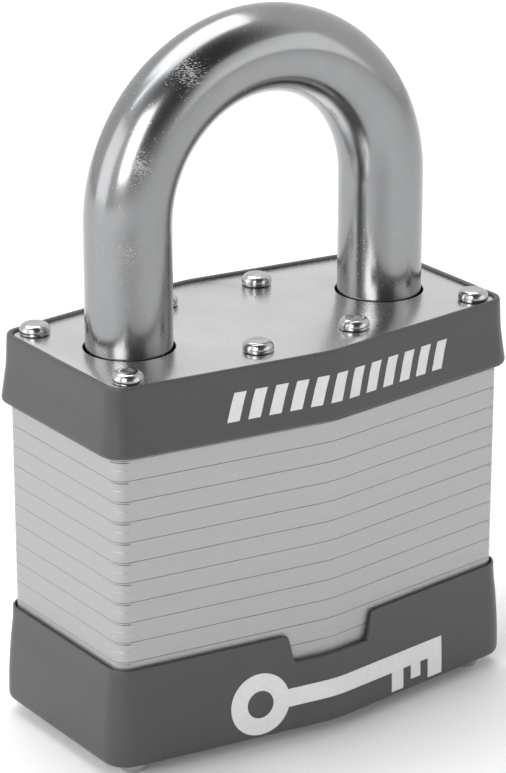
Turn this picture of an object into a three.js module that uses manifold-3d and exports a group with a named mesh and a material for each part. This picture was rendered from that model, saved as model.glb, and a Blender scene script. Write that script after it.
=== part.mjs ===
// Laminated padlock with a steel shackle, two moulded bumpers and a pin tumbler lock.
// Millimetres, +Z up. The origin is under the middle of the body, level with the flat ends of the
// lower rivet heads, which the padlock stands on. X runs along the width, from the heel leg of the
// shackle (-X) to the toe leg (+X), and the front face looks towards -Y.
// It is built unlocked with the shackle down: the plug is turned a quarter and the levers are drawn in.
import * as THREE from "three";
import { mergeVertices } from "three/addons/utils/BufferGeometryUtils.js";
import Module from "manifold-3d";

const wasm = await Module();
wasm.setup();

// ---- Driving sizes ----

// Outline of a lamination: straight ends, and a long side that comes to a soft peak in the middle.
const BODY_HALF_WIDTH = 25.79;
const BODY_END_HALF_DEPTH = 11.04;
const BODY_PEAK_HALF_DEPTH = 14.27;
const CORNER_RADIUS = 1.85;
const PEAK_RADIUS = 12;

// The stack of plates.
const LAMINATION = 2.32;
const LAMINATION_COUNT = 16;
const COVER_PLATE = 3.31;
const COVER_INSET = 0.35;

// Rivets through the whole stack, at two distances from the middle.
const RIVET_HEAD_HEIGHT = 1.2;
const RIVET_HEAD_RADIUS = 1.72;
const RIVET_FLAT_RADIUS = 1.3;
const RIVET_SHANK_RADIUS = 1.2;
const RIVET_END_INSET = 2.72;
const RIVET_SIDE_INSET = 1.8;
const RIVET_INNER_X = 6.42;

// The shackle.
const SHACKLE_DIAMETER = 9.525;
const SHACKLE_INSIDE_WIDTH = 24.19;
const SHACKLE_INSIDE_HEIGHT = 25.55;
const SHACKLE_OVERTRAVEL = 0.8;
const SHACKLE_SIDES = 20;
const LEG_BORE_CLEARANCE = 0.24;
const LEG_END_CHAMFER = 0.8;
const NOTCH_DEPTH = 2.0;
const STOP_RING_THICKNESS = 1.1;
const STOP_RING_OVERHANG = 1.1;
const STOP_RING_GROOVE = 0.86;
const STOP_RING_CLEARANCE = 0.3;

// The lock cylinder, which lies along Z in front of the middle of the body.
const PLUG_Y = -3;
const PLUG_RADIUS = 5.5;
const PLUG_NOSE_SHOULDER = 0.8;
const PLUG_CLEARANCE = 0.06;
const HOUSING_WALL = 1.04;
const CHAMBER_BLOCK_HALF_WIDTH = 3.2;
const CHAMBER_BLOCK_BACK_Y = 10.3;
const CHAMBER_COVER = 0.8;
const PIN_RADIUS = 1.33;
const PIN_CLEARANCE = 0.06;
const PIN_STACKS = 5;
const KEY_PIN_SHARES = [0.84, 1.02, 0.91, 1.13, 0.95];
const DRIVER_PIN_LENGTH = 2.8;
const KEYWAY_WIDTH = 1.5;

// The locking levers and the cam that draws them in.
const LEVER_THROW = 2.1;
const LEVER_TIP_GAP = 0.3;
const LEVER_CLEARANCE = 0.12;
const LEVER_HALF_WIDTH = 2.4;
const LEVER_RAIL_FRONT_Y = 1.55;
const LEVER_RAIL_BACK_Y = 3.9;
const CAM_SMALL_REACH = 1.9;
const CAM_GAP = 0.03;
const CAM_SHAFT_RADIUS = 2.9;

// The bumpers: [how far outside the laminations' outline, height], one list down each outer wall.
// Heights run down from the top of the stack, or up from its underside.
const BUMPER_GAP = 0.04;
const TOP_BUMPER_WALL = [
  [-0.2, 0.19], [0.05, 0.24], [0.3, 0.18], [0.4, -0.05], [0.46, -1.1], [0.52, -2.4], [0.6, -3.5],
  [0.72, -4.3], [0.86, -5.3], [1.0, -6.2], [1.12, -6.95], [1.1, -7.2], [0.96, -7.43], [0.72, -7.52],
];
const BOTTOM_BUMPER_WALL = [
  [0.14, 11.8], [0.28, 11.76], [0.42, 11.3], [0.56, 10.2], [0.69, 9.24], [0.83, 8.2], [0.92, 7.24],
  [1.03, 5.8], [1.14, 4.2], [1.2, 2.6], [1.23, 1.6], [1.19, 0.98], [1.03, 0.62], [0.72, 0.48],
];
const FRONT_NOTCH_TOP_HALF_WIDTH = 5.65;
const FRONT_NOTCH_FLOOR_HALF_WIDTH = 5.0;
const FRONT_NOTCH_DEPTH = 3.25;

// The springs.
const SHACKLE_SPRING_RADIUS = 3.3;
const SHACKLE_SPRING_WIRE = 0.45;
const LEVER_SPRING_RADIUS = 0.95;
const LEVER_SPRING_WIRE = 0.24;
const PIN_SPRING_RADIUS = 0.95;
const PIN_SPRING_WIRE = 0.18;

// ---- Sizes that follow from them ----

const stackBottom = RIVET_HEAD_HEIGHT;
const stackTop = stackBottom + 2 * COVER_PLATE + LAMINATION_COUNT * LAMINATION;
const levelAbove = (laminations) => stackBottom + COVER_PLATE + laminations * LAMINATION;

const legRadius = SHACKLE_DIAMETER / 2;
const legX = (SHACKLE_INSIDE_WIDTH + SHACKLE_DIAMETER) / 2;
const boreRadius = legRadius + LEG_BORE_CLEARANCE;
const bendZ = stackTop + SHACKLE_INSIDE_HEIGHT - (legX - legRadius);
const toeEndZ = levelAbove(11) + 0.22;
const shackleLift = stackTop - toeEndZ + SHACKLE_OVERTRAVEL;
const stopRingRadius = legRadius + STOP_RING_OVERHANG;
const stopRingTop = levelAbove(11) - shackleLift - 0.1;
const heelEndZ = stopRingTop - STOP_RING_THICKNESS - 1.5;

const leverLow = levelAbove(12) + LEVER_CLEARANCE;
const leverHigh = levelAbove(14) - LEVER_CLEARANCE;
const leverMiddle = (leverLow + leverHigh) / 2;
const leverTipX = legX - legRadius - LEVER_TIP_GAP;
const leverRootX = leverTipX - 3.6;
const camReach = CAM_SMALL_REACH + LEVER_THROW;
const camRate = LEVER_THROW / (Math.PI / 2);
const tabX = camReach + CAM_GAP;
const tabBackX = tabX + 2;

const housingLow = levelAbove(0);
const housingHigh = levelAbove(10) - 0.1;
const housingRadius = PLUG_RADIUS + PLUG_CLEARANCE + HOUSING_WALL;
const pinZ = (n) => housingLow + 3.5 + (n * (housingHigh - housingLow - 7)) / (PIN_STACKS - 1);
const keywayTop = pinZ(PIN_STACKS - 1) + 1.9;
const plugTop = housingHigh - 0.1;
const plugNoseRadius = PLUG_RADIUS - PLUG_NOSE_SHOULDER;
const tailBottom = keywayTop + 0.35;

// ---- Solids: joining and cutting ----

function solid(geometry) {
  const bare = geometry.index ? geometry.toNonIndexed() : geometry.clone();
  bare.deleteAttribute("normal");
  bare.deleteAttribute("uv");
  const merged = mergeVertices(bare, 1e-4);
  const triVerts = new Uint32Array(merged.index.array);
  const make = () =>
    new wasm.Manifold(
      new wasm.Mesh({ numProp: 3, vertProperties: merged.attributes.position.array, triVerts }),
    );
  const made = make();
  if (made.volume() >= 0) return made;
  for (let i = 0; i < triVerts.length; i += 3) {
    [triVerts[i + 1], triVerts[i + 2]] = [triVerts[i + 2], triVerts[i + 1]];
  }
  return make();
}

function geometryOf(made) {
  const mesh = made.getMesh();
  const geometry = new THREE.BufferGeometry();
  geometry.setAttribute("position", new THREE.BufferAttribute(mesh.vertProperties, 3));
  geometry.setIndex(new THREE.BufferAttribute(mesh.triVerts, 1));
  const flat = geometry.toNonIndexed();
  flat.computeVertexNormals();
  return flat;
}

const cut = (body, tools) => tools.reduce((left, tool) => left.subtract(tool), body);
const join = (pieces) => pieces.reduce((all, piece) => all.add(piece));

// ---- Shapes ----

const pointsOf = (pairs) => pairs.map(([x, y]) => new THREE.Vector2(x, y));

function circlePoints(radius, sides, [x, y] = [0, 0], turn = 0) {
  const at = (n) => turn + (2 * Math.PI * n) / sides;
  return Array.from({ length: sides }, (_, n) => [
    x + radius * Math.cos(at(n)),
    y + radius * Math.sin(at(n)),
  ]);
}

// A polygon in plan view, raised from one height to another.
function prism(pairs, low, high) {
  const shape = new THREE.Shape(pointsOf(pairs));
  const geometry = new THREE.ExtrudeGeometry(shape, { depth: high - low, bevelEnabled: false });
  return solid(geometry.translate(0, 0, low));
}

const rectangle = (x0, y0, x1, y1) => [[x0, y0], [x1, y0], [x1, y1], [x0, y1]];
const box = (x0, y0, x1, y1, low, high) => prism(rectangle(x0, y0, x1, y1), low, high);
const disc = (radius, sides, at, low, high, turn = 0) =>
  prism(circlePoints(radius, sides, at, turn), low, high);

// A polygon drawn in X and Z, raised along Y.
function crossPrism(pairs, y0, y1) {
  const shape = new THREE.Shape(pointsOf(pairs));
  const geometry = new THREE.ExtrudeGeometry(shape, { depth: y1 - y0, bevelEnabled: false });
  return solid(geometry.rotateX(Math.PI / 2).translate(0, y1, 0));
}

// A profile of [radius, height] turned about a vertical axis through x, y.
function turned(profile, sides, [x, y] = [0, 0]) {
  const geometry = new THREE.LatheGeometry(pointsOf(profile), sides);
  return solid(geometry.rotateX(Math.PI / 2).translate(x, y, 0));
}

// A round bar along Y.
function crossBar(radius, sides, x, z, y0, y1) {
  const geometry = new THREE.CylinderGeometry(radius, radius, y1 - y0, sides);
  return solid(geometry.translate(x, (y0 + y1) / 2, z));
}

// The plan outline of the body, moved outwards by a distance.
function bodyOutline(outwards = 0) {
  const halfWidth = BODY_HALF_WIDTH + outwards;
  const end = BODY_END_HALF_DEPTH + outwards;
  const peak = BODY_PEAK_HALF_DEPTH + outwards;
  const corners = [
    [-halfWidth, -end, CORNER_RADIUS + outwards, 3],
    [0, -peak, PEAK_RADIUS, 2],
    [halfWidth, -end, CORNER_RADIUS + outwards, 3],
    [halfWidth, end, CORNER_RADIUS + outwards, 3],
    [0, peak, PEAK_RADIUS, 2],
    [-halfWidth, end, CORNER_RADIUS + outwards, 3],
  ];
  return corners.flatMap(([x, y, radius, steps], n) => {
    const here = new THREE.Vector2(x, y);
    const [bx, by] = corners[(n + 5) % 6];
    const [ax, ay] = corners[(n + 1) % 6];
    return roundedCorner(new THREE.Vector2(bx, by), here, new THREE.Vector2(ax, ay), radius, steps);
  });
}

function roundedCorner(before, here, after, radius, steps) {
  const back = before.clone().sub(here).normalize();
  const on = after.clone().sub(here).normalize();
  const half = Math.acos(back.dot(on)) / 2;
  const middle = back.clone().add(on).normalize();
  const centre = here.clone().addScaledVector(middle, radius / Math.sin(half));
  const start = here.clone().addScaledVector(back, radius / Math.tan(half)).sub(centre);
  const sweep = Math.PI - 2 * half;
  return Array.from({ length: steps + 1 }, (_, n) => {
    const p = start.clone().rotateAround(new THREE.Vector2(), (sweep * n) / steps).add(centre);
    return [p.x, p.y];
  });
}

// A closed ring whose section follows the body's outline: levels is a loop of [outwards, height].
function collar(levels) {
  const rings = levels.map(([outwards, z]) => bodyOutline(outwards).map(([x, y]) => [x, y, z]));
  const around = rings[0].length;
  const index = [];
  rings.forEach((_, i) => {
    const next = (i + 1) % rings.length;
    for (let j = 0; j < around; j += 1) {
      const k = (j + 1) % around;
      const [a, b, c, d] = [i * around + j, i * around + k, next * around + k, next * around + j];
      index.push(a, b, c, a, c, d);
    }
  });
  const geometry = new THREE.BufferGeometry();
  geometry.setAttribute("position", new THREE.Float32BufferAttribute(rings.flat(2), 3));
  geometry.setIndex(index);
  return solid(geometry);
}

// A coil spring along a straight line, as a helix of round wire.
class Helix extends THREE.Curve {
  constructor(radius, length, turns) {
    super();
    Object.assign(this, { radius, length, turns });
  }

  getPoint(t, target = new THREE.Vector3()) {
    const angle = 2 * Math.PI * this.turns * t;
    const [x, y] = [this.radius * Math.cos(angle), this.radius * Math.sin(angle)];
    return target.set(x, y, this.length * t);
  }
}

function coil(radius, wire, length, turns, { stepsPerTurn = 10, sides = 5 } = {}) {
  const section = new THREE.Shape(pointsOf(circlePoints(wire / 2, sides)));
  const geometry = new THREE.ExtrudeGeometry(section, {
    steps: Math.round(turns * stepsPerTurn),
    extrudePath: new Helix(radius, length - wire, turns),
    bevelEnabled: false,
  });
  return geometry.translate(0, 0, wire / 2);
}

// ---- The body ----

const rivetPlaces = [-1, 1].flatMap((side) =>
  [-1, 1].flatMap((face) => [
    [side * (BODY_HALF_WIDTH - RIVET_END_INSET), face * (BODY_END_HALF_DEPTH - RIVET_SIDE_INSET)],
    [side * RIVET_INNER_X, face * (BODY_END_HALF_DEPTH - RIVET_SIDE_INSET)],
  ]),
);

// The housing in plan: a tube around the plug with a block for the pin chambers behind it.
function housingOutline(outwards = 0) {
  const radius = housingRadius + outwards;
  const half = CHAMBER_BLOCK_HALF_WIDTH + outwards;
  const back = CHAMBER_BLOCK_BACK_Y + outwards;
  const from = Math.acos(half / radius);
  const steps = 16;
  const arc = Array.from({ length: steps + 1 }, (_, n) => {
    const angle = from - (n * (Math.PI + 2 * from)) / steps;
    return [radius * Math.cos(angle), PLUG_Y + radius * Math.sin(angle)];
  });
  return [...arc.reverse(), [half, back], [-half, back]];
}

// The room around the levers and their cam, open to both leg bores.
function leverRoom(low, high) {
  const channelX = legX - legRadius + 1.8;
  const backY = LEVER_RAIL_BACK_Y + 2.9;
  const frontY = -LEVER_HALF_WIDTH - 0.15;
  const camRoom = Math.hypot(camReach, camRate) + 0.2;
  const tabRoom = tabBackX + 0.2;
  return join([
    box(-leverTipX - 0.1, frontY, leverTipX + 0.1, backY, low, high),
    box(-channelX, frontY, channelX, -frontY, low, high),
    box(-tabRoom, PLUG_Y - 2.2, tabRoom, 0, low, high),
    box(-camRoom, PLUG_Y - camRoom, camRoom, 0, low, high),
  ]);
}

// What is cut out of a plate between two heights, besides the rivet holes and the upper leg bores.
function plateOpenings(low, high) {
  const from = low - 1;
  const to = high + 1;
  const level = (low + high) / 2;
  const boreSides = 16;
  const tools = [];
  if (level > levelAbove(11)) {
    tools.push(disc(boreRadius, boreSides, [legX, 0], from, to, Math.PI / boreSides));
    tools.push(disc(boreRadius, boreSides, [-legX, 0], from, to, Math.PI / boreSides));
  } else if (level > levelAbove(0)) {
    tools.push(disc(stopRingRadius + STOP_RING_CLEARANCE, boreSides, [-legX, 0], from, to));
  }
  if (level < levelAbove(0)) {
    tools.push(disc(plugNoseRadius + 2 * PLUG_CLEARANCE, 20, [0, PLUG_Y], from, to));
  } else if (level < levelAbove(10)) {
    tools.push(prism(housingOutline(0.08), from, to));
  } else if (level < levelAbove(12)) {
    tools.push(disc(CAM_SHAFT_RADIUS + 0.15, 16, [0, PLUG_Y], from, to));
  } else if (level < levelAbove(14)) {
    tools.push(leverRoom(from, to));
  }
  return tools;
}

function plate(low, high, outwards) {
  const holes = rivetPlaces.map((at) => disc(RIVET_SHANK_RADIUS + 0.25, 6, at, low - 1, high + 1));
  return cut(prism(bodyOutline(outwards), low, high), [...holes, ...plateOpenings(low, high)]);
}

function rivet(at) {
  const [r, h, shank] = [RIVET_HEAD_RADIUS, RIVET_HEAD_HEIGHT, RIVET_SHANK_RADIUS];
  const head = [
    [RIVET_FLAT_RADIUS, 0], [r * 0.93, h * 0.33], [r, h * 0.78], [r * 0.96, h - 0.02],
  ];
  const lower = [[0, 0], ...head, [shank, h - 0.02]];
  const whole = stackTop + h;
  const upper = [...lower].reverse().map(([radius, z]) => [radius, whole - z]);
  return turned([...lower, ...upper], 12, at);
}

function topBumper() {
  const seat = -COVER_PLATE + 0.03;
  const foot = TOP_BUMPER_WALL.at(-1)[1];
  const inner = [
    [BUMPER_GAP + 0.15, foot], [BUMPER_GAP, foot + 0.12], [BUMPER_GAP, seat],
    [BUMPER_GAP - COVER_INSET, seat], [BUMPER_GAP - COVER_INSET, 0.08],
  ];
  return collar([...TOP_BUMPER_WALL, ...inner].map(([out, z]) => [out, stackTop + z]));
}

function bottomBumper() {
  const seat = COVER_PLATE - 0.03;
  const top = BOTTOM_BUMPER_WALL[0][1];
  const foot = BOTTOM_BUMPER_WALL.at(-1)[1];
  const inner = [
    [BUMPER_GAP - COVER_INSET + 0.15, foot], [BUMPER_GAP - COVER_INSET, foot + 0.13],
    [BUMPER_GAP - COVER_INSET, seat], [BUMPER_GAP, seat], [BUMPER_GAP, top - 0.12],
  ];
  const whole = collar([...BOTTOM_BUMPER_WALL, ...inner].map(([out, z]) => [out, stackBottom + z]));
  const rise = 2;
  const lip = stackBottom + top;
  const floor = lip - FRONT_NOTCH_DEPTH;
  const slant = (FRONT_NOTCH_TOP_HALF_WIDTH - FRONT_NOTCH_FLOOR_HALF_WIDTH) / FRONT_NOTCH_DEPTH;
  const wide = FRONT_NOTCH_TOP_HALF_WIDTH + slant * rise;
  const narrow = FRONT_NOTCH_FLOOR_HALF_WIDTH;
  const notch = [[-narrow, floor], [narrow, floor], [wide, lip + rise], [-wide, lip + rise]];
  return cut(whole, [crossPrism(notch, -BODY_PEAK_HALF_DEPTH - 4, -BODY_END_HALF_DEPTH + 2)]);
}

// ---- The shackle ----

// A bar through rings of equally many points, closed by a flat end at each side.
function bar(rings) {
  const around = rings[0].length;
  const index = [];
  for (let i = 0; i + 1 < rings.length; i += 1) {
    for (let j = 0; j < around; j += 1) {
      const k = (j + 1) % around;
      const [a, b] = [i * around + j, i * around + k];
      index.push(a, b, b + around, a, b + around, a + around);
    }
  }
  const last = (rings.length - 1) * around;
  for (let j = 1; j + 1 < around; j += 1) {
    index.push(0, j + 1, j, last, last + j, last + j + 1);
  }
  const geometry = new THREE.BufferGeometry();
  geometry.setAttribute("position", new THREE.Float32BufferAttribute(rings.flat(2), 3));
  geometry.setIndex(index);
  return solid(geometry);
}

// The section of the shackle at a place on its centre line, where the bend has turned to an angle.
function shackleRing([x, z], angle, radius = legRadius) {
  return circlePoints(radius, SHACKLE_SIDES).map(([out, y]) => [
    x + out * Math.cos(angle),
    y,
    z + out * Math.sin(angle),
  ]);
}

function shackleBar() {
  const steps = 24;
  const tip = legRadius - LEG_END_CHAMFER;
  const bend = Array.from({ length: steps + 1 }, (_, n) => {
    const angle = Math.PI * (1 - n / steps);
    return shackleRing([legX * Math.cos(angle), bendZ + legX * Math.sin(angle)], angle);
  });
  return bar([
    shackleRing([-legX, heelEndZ], Math.PI, tip),
    shackleRing([-legX, heelEndZ + LEG_END_CHAMFER], Math.PI),
    ...bend,
    shackleRing([legX, toeEndZ + LEG_END_CHAMFER], 0),
    shackleRing([legX, toeEndZ], 0, tip),
  ]);
}

// A groove turned into the heel leg, from one height to another, down to a radius.
function groove(radius, low, high) {
  const out = legRadius + 1;
  return turned([[radius, low], [out, low], [out, high], [radius, high], [radius, low]],
    SHACKLE_SIDES, [-legX, 0]);
}

function shackle() {
  const notchX = legX - legRadius + NOTCH_DEPTH;
  const notchLow = levelAbove(12) - 0.2;
  const notchHigh = levelAbove(14) + 0.2;
  const inside = legX - legRadius - 1;
  const neckRadius = legRadius - NOTCH_DEPTH;
  return cut(shackleBar(), [
    box(inside, -legRadius - 1, notchX, legRadius + 1, notchLow, notchHigh),
    box(-notchX, -legRadius - 1, -inside, legRadius + 1, notchLow, notchHigh),
    groove(neckRadius, leverLow - shackleLift - 0.2, leverHigh - shackleLift + 0.3),
    groove(legRadius - STOP_RING_GROOVE, stopRingTop - STOP_RING_THICKNESS, stopRingTop),
  ]);
}

// The snap ring at the foot of the heel leg, which stops the shackle as it lifts.
function stopRing() {
  const open = 0.5;
  const steps = 14;
  const inner = (legRadius - STOP_RING_GROOVE + 0.06) / Math.cos((Math.PI - open) / steps);
  const arc = (radius) =>
    Array.from({ length: steps + 1 }, (_, n) => {
      const angle = open + (n * 2 * (Math.PI - open)) / steps;
      return [-legX + radius * Math.cos(angle), radius * Math.sin(angle)];
    });
  const low = stopRingTop - STOP_RING_THICKNESS + 0.03;
  return prism([...arc(stopRingRadius), ...arc(inner).reverse()], low, stopRingTop - 0.03);
}

function shackleSpring() {
  const length = heelEndZ - housingLow - 0.06;
  const spring = coil(SHACKLE_SPRING_RADIUS, SHACKLE_SPRING_WIRE, length, 4.5);
  return solid(spring.translate(-legX, 0, housingLow + 0.03));
}

// ---- The lock cylinder ----

const chamberTop = CHAMBER_BLOCK_BACK_Y - CHAMBER_COVER;

function cylinderHousing() {
  const bore = disc(PLUG_RADIUS + PLUG_CLEARANCE, 24, [0, PLUG_Y], housingLow - 1, housingHigh + 1);
  const half = CHAMBER_BLOCK_HALF_WIDTH - 1;
  const recess = box(-half, chamberTop, half, CHAMBER_BLOCK_BACK_Y + 1, housingLow - 1, housingHigh + 1);
  const chambers = Array.from({ length: PIN_STACKS }, (_, n) =>
    crossBar(PIN_RADIUS + PIN_CLEARANCE, 10, 0, pinZ(n), PLUG_Y, chamberTop + 1),
  );
  return cut(prism(housingOutline(), housingLow, housingHigh), [bore, recess, ...chambers]);
}

function chamberCover() {
  const half = CHAMBER_BLOCK_HALF_WIDTH - 1.05;
  return box(-half, chamberTop + 0.03, half, CHAMBER_BLOCK_BACK_Y, housingLow + 0.05, housingHigh - 0.05);
}

// The keyway in plan, as cut in the plug when its chambers point back, with the plug's axis at 0, 0.
function keywayOutline() {
  const half = KEYWAY_WIDTH / 2;
  const bend = 0.55;
  const [foot, ward0, ward1, ward2, ward3, head] = [-0.745, -0.455, -0.345, 0.02, 0.127, 0.436].map(
    (share) => share * PLUG_RADIUS,
  );
  return [
    [-half, foot], [half, foot], [half, ward0], [half + bend, ward1], [half + bend, ward2],
    [half, ward3], [half, head], [-half, head], [-half, ward3], [-half + bend, ward2],
    [-half + bend, ward1], [-half, ward0],
  ];
}

// The plug and its pins are drawn about their own axis with the chambers pointing back (locked),
// then turned a quarter to the unlocked place.
const quarterTurned = (made) => made.rotate([0, 0, 90]).translate([0, PLUG_Y, 0]);

function cylinderPlug() {
  const low = housingLow + 0.05;
  const face = stackBottom + 0.3;
  const body = join([
    disc(PLUG_RADIUS, 24, [0, 0], low, plugTop),
    disc(plugNoseRadius, 20, [0, 0], face, low + 0.5),
  ]);
  const chambers = Array.from({ length: PIN_STACKS }, (_, n) =>
    crossBar(PIN_RADIUS + PIN_CLEARANCE, 10, 0, pinZ(n), -1.6, PLUG_RADIUS + 1),
  );
  const tail = box(-2.6, -0.85, 2.6, 0.85, tailBottom - 0.05, plugTop + 1);
  const keyway = prism(keywayOutline(), face - 1, keywayTop);
  return quarterTurned(cut(body, [keyway, tail, ...chambers]));
}

function keyPin(n) {
  const top = Math.sqrt(PLUG_RADIUS ** 2 - PIN_RADIUS ** 2) - 0.02;
  const foot = top - KEY_PIN_SHARES[n] * PLUG_RADIUS;
  const z = pinZ(n);
  const profile = [[0, foot], [0.45, foot], [PIN_RADIUS, foot + 0.8], [PIN_RADIUS, top], [0, top]];
  const geometry = new THREE.LatheGeometry(pointsOf(profile), 10);
  return quarterTurned(solid(geometry.translate(0, 0, z)));
}

const driverLow = PLUG_Y + PLUG_RADIUS + PLUG_CLEARANCE + 0.04;

function driverPin(n) {
  return crossBar(PIN_RADIUS, 10, 0, pinZ(n), driverLow, driverLow + DRIVER_PIN_LENGTH);
}

function pinSpring(n) {
  const low = driverLow + DRIVER_PIN_LENGTH + 0.03;
  const length = chamberTop - low;
  const spring = coil(PIN_SPRING_RADIUS, PIN_SPRING_WIRE, length, 4, { stepsPerTurn: 8, sides: 4 });
  return solid(spring.rotateX(-Math.PI / 2).translate(0, low, pinZ(n)));
}

// ---- The cam and the levers ----

// One lobe of the cam. It falls evenly as it turns, so a lever's travel follows the turn exactly.
function camLobe() {
  const steps = 8;
  return Array.from({ length: steps + 1 }, (_, n) => {
    const angle = (n * Math.PI) / 2 / steps;
    const reach = camReach - camRate * angle;
    const [c, s] = [Math.cos(angle), Math.sin(angle)];
    return [reach * c + camRate * s, reach * s - camRate * c];
  });
}

function driveCam() {
  const lobe = camLobe();
  const outline = [...lobe, ...lobe.map(([x, y]) => [-x, -y])];
  return join([
    prism(outline, leverLow, leverHigh),
    disc(CAM_SHAFT_RADIUS, 16, [0, 0], plugTop + 0.1, leverLow - LEVER_CLEARANCE),
    disc(CAM_SMALL_REACH - 0.2, 12, [0, 0], leverLow - 1, leverLow + 1),
    box(-0.8, -2.5, 0.8, 2.5, tailBottom, plugTop + 0.5),
  ]).translate([0, PLUG_Y, 0]);
}

// The lever that locks one leg: its nose faces the leg, and its rail passes behind the cam to a tab
// on the far side, which the cam pulls on. The two rails share the height, one above the other.
function lockingLever(side, low, high) {
  const bevel = 1.1;
  const nose = crossPrism(
    [
      [leverRootX, leverLow], [leverTipX, leverLow], [leverTipX, leverHigh - bevel],
      [leverTipX - bevel, leverHigh], [leverRootX, leverHigh],
    ],
    -LEVER_HALF_WIDTH,
    LEVER_HALF_WIDTH,
  );
  const ear = box(leverRootX, LEVER_RAIL_FRONT_Y, leverRootX + 1.4, LEVER_RAIL_BACK_Y + 2.7,
    leverLow, leverHigh);
  const rail = box(-tabBackX, LEVER_RAIL_FRONT_Y, leverRootX + 0.5, LEVER_RAIL_BACK_Y, low, high);
  const tab = box(-tabBackX, PLUG_Y - 2, -tabX, LEVER_RAIL_BACK_Y, low, high);
  const whole = join([nose, ear, rail, tab]);
  return side > 0 ? whole : whole.mirror([1, 0, 0]);
}

function leverSpring() {
  const y = LEVER_RAIL_BACK_Y + 1.4;
  const length = 2 * leverRootX - 0.06;
  const spring = coil(LEVER_SPRING_RADIUS, LEVER_SPRING_WIRE, length, 9, { stepsPerTurn: 8, sides: 4 });
  return solid(spring.rotateY(Math.PI / 2).translate(-length / 2, y, leverMiddle));
}

// ---- Materials ----

const finish = (color, roughness, metalness) =>
  new THREE.MeshStandardMaterial({ color, roughness, metalness });
const FINISHES = {
  plate: () => finish(0xb4b5b5, 0.5, 0.8),
  cover: () => finish(0xb0b1b2, 0.34, 0.95),
  rivet: () => finish(0xc8c9ca, 0.24, 1),
  bumper: () => finish(0x555657, 0.55, 0),
  shackle: () => finish(0xc4c7ca, 0.2, 1),
  steel: () => finish(0x9a9da0, 0.4, 0.9),
  brass: () => finish(0xb08d4a, 0.38, 0.9),
};

// ---- The assembly ----

const padlock = new THREE.Group();
padlock.name = "padlock";

function place(name, made, look) {
  const mesh = new THREE.Mesh(geometryOf(made), FINISHES[look]());
  mesh.name = name;
  padlock.add(mesh);
}

place("bottom_plate", plate(stackBottom, levelAbove(0), -COVER_INSET), "cover");
for (let n = 0; n < LAMINATION_COUNT; n += 1) {
  const name = `lamination_${String(n + 1).padStart(2, "0")}`;
  place(name, plate(levelAbove(n), levelAbove(n + 1), 0), "plate");
}
place("top_plate", plate(levelAbove(LAMINATION_COUNT), stackTop, -COVER_INSET), "cover");
rivetPlaces.forEach((at, n) => place(`rivet_${n + 1}`, rivet(at), "rivet"));
place("top_bumper", topBumper(), "bumper");
place("bottom_bumper", bottomBumper(), "bumper");

place("shackle", shackle(), "shackle");
place("shackle_stop_ring", stopRing(), "steel");
place("shackle_spring", shackleSpring(), "steel");

place("cylinder_housing", cylinderHousing(), "brass");
place("chamber_cover", chamberCover(), "brass");
place("cylinder_plug", cylinderPlug(), "brass");
for (let n = 0; n < PIN_STACKS; n += 1) {
  place(`key_pin_${n + 1}`, keyPin(n), "brass");
  place(`driver_pin_${n + 1}`, driverPin(n), "brass");
  place(`pin_spring_${n + 1}`, pinSpring(n), "steel");
}

place("drive_cam", driveCam(), "steel");
place("locking_lever_right", lockingLever(1, leverLow, leverMiddle - 0.05), "steel");
place("locking_lever_left", lockingLever(-1, leverMiddle + 0.05, leverHigh), "steel");
place("lever_spring", leverSpring(), "steel");

export default padlock;
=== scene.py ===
"""Laminated padlock: the finished looks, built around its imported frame.

Sizes in the classes are in millimetres and are turned into metres as each mesh is made.
"""

import logging
import math
from collections.abc import Callable, Sequence
from dataclasses import dataclass, field
from enum import Enum

import bmesh
import bpy
from mathutils import Matrix, Vector


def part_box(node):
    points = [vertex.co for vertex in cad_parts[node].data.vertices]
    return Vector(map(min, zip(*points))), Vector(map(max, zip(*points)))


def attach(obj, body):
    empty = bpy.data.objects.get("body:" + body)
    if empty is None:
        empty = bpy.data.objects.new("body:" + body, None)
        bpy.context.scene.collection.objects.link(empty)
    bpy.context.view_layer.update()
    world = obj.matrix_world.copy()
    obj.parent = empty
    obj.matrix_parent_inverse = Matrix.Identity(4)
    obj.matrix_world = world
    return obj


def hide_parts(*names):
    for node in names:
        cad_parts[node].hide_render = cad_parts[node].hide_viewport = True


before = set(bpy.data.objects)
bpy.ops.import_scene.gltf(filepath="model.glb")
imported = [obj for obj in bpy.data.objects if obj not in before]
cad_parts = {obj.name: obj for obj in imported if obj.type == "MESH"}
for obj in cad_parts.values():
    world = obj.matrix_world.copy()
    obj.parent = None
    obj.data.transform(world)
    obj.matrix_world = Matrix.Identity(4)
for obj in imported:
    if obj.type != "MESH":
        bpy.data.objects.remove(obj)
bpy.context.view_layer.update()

MM = 0.001
Point2 = tuple[float, float]
Point3 = tuple[float, float, float]
Colour = tuple[float, float, float, float]
Profile = Sequence[Point2]

log = logging.getLogger("padlock")


class Body(Enum):
    """The bodies that the pieces made anew ride on."""

    CASE = "case"
    SHACKLE = "shackle"


class Slot(Enum):
    """The record's material slots for the pieces that are made anew."""

    PLATE = "plate"
    COVER = "cover_plate"
    RIVET = "rivet"
    BUMPER = "bumper"
    SHACKLE = "shackle"


# ---------------------------------------------------------------- materials


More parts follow.
